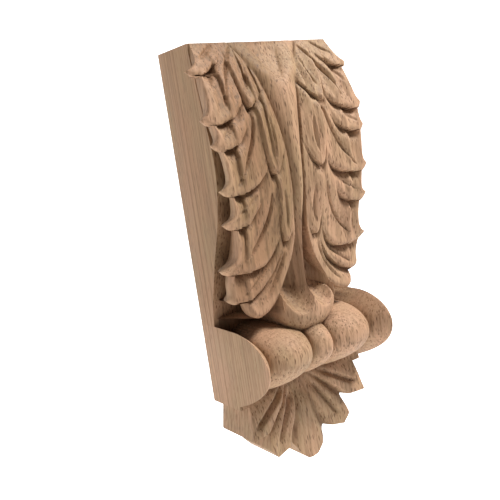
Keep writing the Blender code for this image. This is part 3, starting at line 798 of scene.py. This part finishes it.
# %% The wood
BLACK = (0, 0, 0)
WHITE = (1, 1, 1)
STRAW = (0.37, 0.25, 0.135)
PINK = (0.47, 0.275, 0.165)
STRIPE = (0.23, 0.135, 0.07)
PORE = (0.085, 0.036, 0.014)
PAINTED_SHADE = (0.10, 0.038, 0.011)
SHADE_TINT = (0.66, 0.61, 0.53)
# Size of each pattern in mm, as (across the grain, along it)
CLOUD_SIZE = (14.0, 34.0)
STRIPE_SIZE = (1.1, 110.0)
FIBRE_SIZE = (0.45, 9.0)
STRIPE_SHARE = 0.9
FIBRE_SHARE = 0.3
# Spacing of the coarse and the fine pores across and along the grain in mm, their radius as a share of it,
# and where the share of places that hold one is cut off
PORE_SPACING = 0.8
PORE_SPACING_ALONG = 4.2
COARSE_RADIUS = 0.38
COARSE_PRESENT = 0.62
FINE_SPACING = PORE_SPACING * 0.5
FINE_SPACING_ALONG = PORE_SPACING_ALONG * 0.6
FINE_RADIUS = 0.36
FINE_PRESENT = 0.55
FINE_SHARE = 0.5
PORE_SHARE = 0.75
# Share of the pores that is left where the surface faces sideways
PORES_ON_SIDE = 0.3
# The browner band of painted shade over the left half and the spoon, in mm: its left and right ends in x, how
# far the clouds move it, and the heights between which it comes in
SHADE_BAND_ENDS = (-34.0, 16.0)
SHADE_BAND_MOVE = 9.0
SHADE_BAND_RISES = (20.0, 46.0)
PAINTED_SHADE_SHARE = 0.55
RAISED_PINK_SHARE = 0.3
ROUGHNESS = (0.62, 0.80)
SPECULAR = 0.35
# The bump is a level that the pores are sunk in, mixed with the fibre
BUMP_LEVEL = 0.7
BUMP_FIBRE_SHARE = 0.75
BUMP_STRENGTH = 0.4
BUMP_HEIGHT = 0.25


def pale_wood():
    """Straw and pink clouds, stripes along z, a browner band of painted shade on the left half and the spoon,
    two sizes of pore, painted shade in the hollows and raised places mixed toward pink."""
    material = bpy.data.materials.new("pale_wood")
    material.use_nodes = True
    tree = material.node_tree
    shader = tree.nodes["Principled BSDF"]
    texture_places = node(tree, "ShaderNodeTexCoord").outputs
    place = texture_places["Object"]

    def stretched(across, along):
        size = (1 / (across * MM), 1 / (across * MM), 1 / (along * MM))
        return node(tree, "ShaderNodeMapping", Vector=place, Scale=size).outputs["Vector"]

    def share_between(value, ends):
        made = node(tree, "ShaderNodeMapRange", i0=value, i1=ends[0] * MM, i2=ends[1] * MM)
        return made.outputs["Result"]

    def noise(size, detail):
        made = node(tree, "ShaderNodeTexNoise", Vector=stretched(*size), Scale=1.0, Detail=detail)
        return made.outputs["Fac"]

    cloud = noise(CLOUD_SIZE, 3.0)
    stripes = noise(STRIPE_SIZE, 5.0)
    fibre = noise(FIBRE_SIZE, 2.0)
    colour = ramp(tree, cloud, (0.38, STRAW), (0.60, PINK))
    colour = mix(tree, ramp(tree, stripes, (0.42, BLACK), (0.64, grey(STRIPE_SHARE))), colour, STRIPE)
    colour = mix(tree, FIBRE_SHARE, colour, ramp(tree, fibre, (0.35, STRIPE), (0.65, PINK)))

    place_parts = node(tree, "ShaderNodeSeparateXYZ", Vector=place).outputs
    # Painted shade: a browner band darkens the left half and the spoon, from the spoon's height up
    moved = node(tree, "ShaderNodeMath", {"operation": "MULTIPLY_ADD"}, i0=cloud, i1=SHADE_BAND_MOVE * MM,
                 i2=place_parts["X"]).outputs["Value"]
    upward = share_between(place_parts["Z"], SHADE_BAND_RISES)
    across = share_between(moved, SHADE_BAND_ENDS)
    band = ramp(tree, across, (0.04, BLACK), (0.22, WHITE), (0.6, WHITE), (0.82, BLACK))
    band = mix(tree, upward, BLACK, band)
    colour = mix(tree, band, colour, mix(tree, 1.0, colour, SHADE_TINT, "MULTIPLY"))

    def pores(spacing, along, radius, share):
        cells = node(tree, "ShaderNodeTexVoronoi", Vector=stretched(spacing, along), Scale=1.0)
        near = ramp(tree, cells.outputs["Distance"], (radius * 0.5, WHITE), (radius, BLACK))
        present = ramp(tree, cells.outputs["Color"], (share - 0.02, WHITE), (share + 0.02, BLACK))
        return mix(tree, 1.0, near, present, "MULTIPLY")

    coarse = pores(PORE_SPACING, PORE_SPACING_ALONG, COARSE_RADIUS, COARSE_PRESENT)
    fine = pores(FINE_SPACING, FINE_SPACING_ALONG, FINE_RADIUS, FINE_PRESENT)
    pore = mix(tree, 1.0, coarse, mix(tree, 1.0, fine, grey(FINE_SHARE), "MULTIPLY"), "ADD")
    facing = node(tree, "ShaderNodeSeparateXYZ", Vector=texture_places["Normal"]).outputs["X"]
    sideways = node(tree, "ShaderNodeMath", {"operation": "ABSOLUTE"}, i0=facing).outputs["Value"]
    closed = ramp(tree, sideways, (0.8, WHITE), (0.98, grey(PORES_ON_SIDE)))
    pore = mix(tree, 1.0, pore, closed, "MULTIPLY")
    colour = mix(tree, mix(tree, 1.0, pore, grey(PORE_SHARE), "MULTIPLY"), colour, PORE)

    # Painted shade: the deep cuts are painted darker, as shade that the lights alone don't give there
    painted_shade_here = node(tree, "ShaderNodeAttribute", {"attribute_name": "hollow"}).outputs["Fac"]
    raised_pink_here = node(tree, "ShaderNodeAttribute", {"attribute_name": "raised_pink"}).outputs["Fac"]
    colour = mix(tree, ramp(tree, painted_shade_here, (0.08, BLACK), (0.9, grey(PAINTED_SHADE_SHARE))), colour, PAINTED_SHADE)
    # Places that stand before the face around them are mixed toward pink
    colour = mix(tree, ramp(tree, raised_pink_here, (0.1, BLACK), (0.8, grey(RAISED_PINK_SHARE))), colour, PINK)
    tree.links.new(colour, shader.inputs["Base Color"])

    smoothest, roughest = ROUGHNESS
    rough = ramp(tree, fibre, (0.3, grey(smoothest)), (0.7, grey(roughest)))
    tree.links.new(rough, shader.inputs["Roughness"])
    height = mix(tree, BUMP_FIBRE_SHARE, mix(tree, 1.0, grey(BUMP_LEVEL), pore, "SUBTRACT"), fibre)
    bump = node(tree, "ShaderNodeBump", Height=height, Strength=BUMP_STRENGTH, Distance=BUMP_HEIGHT * MM)
    tree.links.new(bump.outputs["Normal"], shader.inputs["Normal"])
    shader.inputs["Specular IOR Level"].default_value = SPECULAR
    return material


carving_mesh.materials.append(pale_wood())
print("wood nodes:", len(carving_mesh.materials[0].node_tree.nodes))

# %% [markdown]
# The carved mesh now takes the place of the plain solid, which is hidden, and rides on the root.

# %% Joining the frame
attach(carving, "root")
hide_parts("carved_corbel")
print("the carving rides on root")

# %% [markdown]
# The corbel hangs in front of a plain pale sweep: a floor that curves up into a wall, so no
# corner shows. The floor is well below the piece, as the wall it is made for isn't part of it.

# %% Floor and backdrop
# All in metres: how far the floor lies below the piece, how far it goes forward and back, the radius of the
# curve, the height of the wall and half the width
FLOOR_DROP = 0.25
SWEEP_FRONT = -2.5
SWEEP_BACK = 1.1
SWEEP_RADIUS = 0.5
SWEEP_HEIGHT = 3.0
SWEEP_HALF_WIDTH = 3.0
PAPER_GLOW = 0.95


def sweep():
    """A profile carried straight along a line: flat floor, a quarter circle, and a wall."""
    floor_z = low[2] - FLOOR_DROP
    profile = [(SWEEP_FRONT, floor_z)]
    for angle in np.linspace(0, np.pi / 2, 25):
        rise = SWEEP_RADIUS * (1 - np.cos(angle))
        profile.append((SWEEP_BACK + SWEEP_RADIUS * np.sin(angle), floor_z + rise))
    profile.append((SWEEP_BACK + SWEEP_RADIUS, floor_z + SWEEP_HEIGHT))
    return [(side, y, z) for y, z in profile for side in (-SWEEP_HALF_WIDTH, SWEEP_HALF_WIDTH)], len(profile)


sweep_points, count = sweep()
sweep_faces = [(2 * i, 2 * i + 1, 2 * i + 3, 2 * i + 2) for i in range(count - 1)]
sweep_mesh = bpy.data.meshes.new("sweep")
sweep_mesh.from_pydata(sweep_points, [], sweep_faces)
sweep_mesh.update()
sweep_mesh.shade_smooth()
backdrop = bpy.data.objects.new("sweep", sweep_mesh)
bpy.context.scene.collection.objects.link(backdrop)
paper = bpy.data.materials.new("paper")
paper.use_nodes = True
paper_shader = paper.node_tree.nodes["Principled BSDF"]
paper_shader.inputs["Base Color"].default_value = (0.9, 0.9, 0.9, 1)
paper_shader.inputs["Roughness"].default_value = 0.9
paper_shader.inputs["Emission Color"].default_value = (1, 1, 1, 1)
paper_shader.inputs["Emission Strength"].default_value = PAPER_GLOW
sweep_mesh.materials.append(paper)
print("sweep with", len(sweep_faces), "faces")

# %% [markdown]
# The light comes mostly from above and a little from the right, through a large window or a
# softbox, with a weaker fill from the left and pale surroundings that keep the shadows open.

# %% Lights
# Places and sizes in metres
MIDDLE = Vector((0, -0.02, 0.06))
KEY_PLACE = (0.40, -0.40, 0.80)
KEY_SIZE = 0.24
KEY_WATTS = 14.8
FILL_PLACE = (-0.9, -0.12, 0.25)
FILL_SIZE = 0.5
FILL_WATTS = 1.2
ROOM_STRENGTH = 0.08


def softbox(name, place, size, watts):
    """A square area light that looks at the middle of the piece."""
    light = bpy.data.objects.new(name, bpy.data.lights.new(name, "AREA"))
    light.data.energy = watts
    light.data.size = size
    light.location = place
    light.rotation_euler = (MIDDLE - Vector(place)).to_track_quat("-Z", "Y").to_euler()
    bpy.context.scene.collection.objects.link(light)


softbox("key", KEY_PLACE, KEY_SIZE, KEY_WATTS)
softbox("fill", FILL_PLACE, FILL_SIZE, FILL_WATTS)
world = bpy.data.worlds.new("pale_room")
world.use_nodes = True
room = world.node_tree.nodes["Background"].inputs
room["Color"].default_value = (1, 1, 1, 1)
room["Strength"].default_value = ROOM_STRENGTH
bpy.context.scene.world = world
bpy.context.scene.view_settings.view_transform = "Standard"
print("2 softboxes and a pale room")

# %% [markdown]
# The photograph was taken from the left and a little above, with the camera tilted, so the
# piece leans in the picture. The camera's direction is given as an azimuth, an elevation and
# a roll, and its matrix is built from those three turns.

# %% The camera
# Turns in degrees, place and lens in mm, and the near clip in metres
AZIMUTH = 35.83
ELEVATION = 9.69
ROLL = 8.39
PLACE = Vector((-152.26, -205.39, 97.77)) * MM
LENS = 45.59
NEAR_CLIP = 0.01
forward = Vector((np.cos(np.radians(ELEVATION)) * np.sin(np.radians(AZIMUTH)),
                  np.cos(np.radians(ELEVATION)) * np.cos(np.radians(AZIMUTH)),
                  -np.sin(np.radians(ELEVATION))))
level = forward.cross(Vector((0, 0, 1))).normalized()
turned = Matrix.Rotation(np.radians(ROLL), 3, forward)
right = turned @ level
up = right.cross(forward)
camera = bpy.data.objects.new("camera", bpy.data.cameras.new("camera"))
camera.data.lens = LENS
camera.matrix_world = Matrix((
    (right.x, up.x, -forward.x, PLACE.x),
    (right.y, up.y, -forward.y, PLACE.y),
    (right.z, up.z, -forward.z, PLACE.z),
    (0, 0, 0, 1),
))
camera.data.clip_start = NEAR_CLIP
bpy.context.scene.collection.objects.link(camera)
bpy.context.scene.camera = camera
print("camera right", [round(part, 4) for part in right], "forward", [round(part, 4) for part in forward])
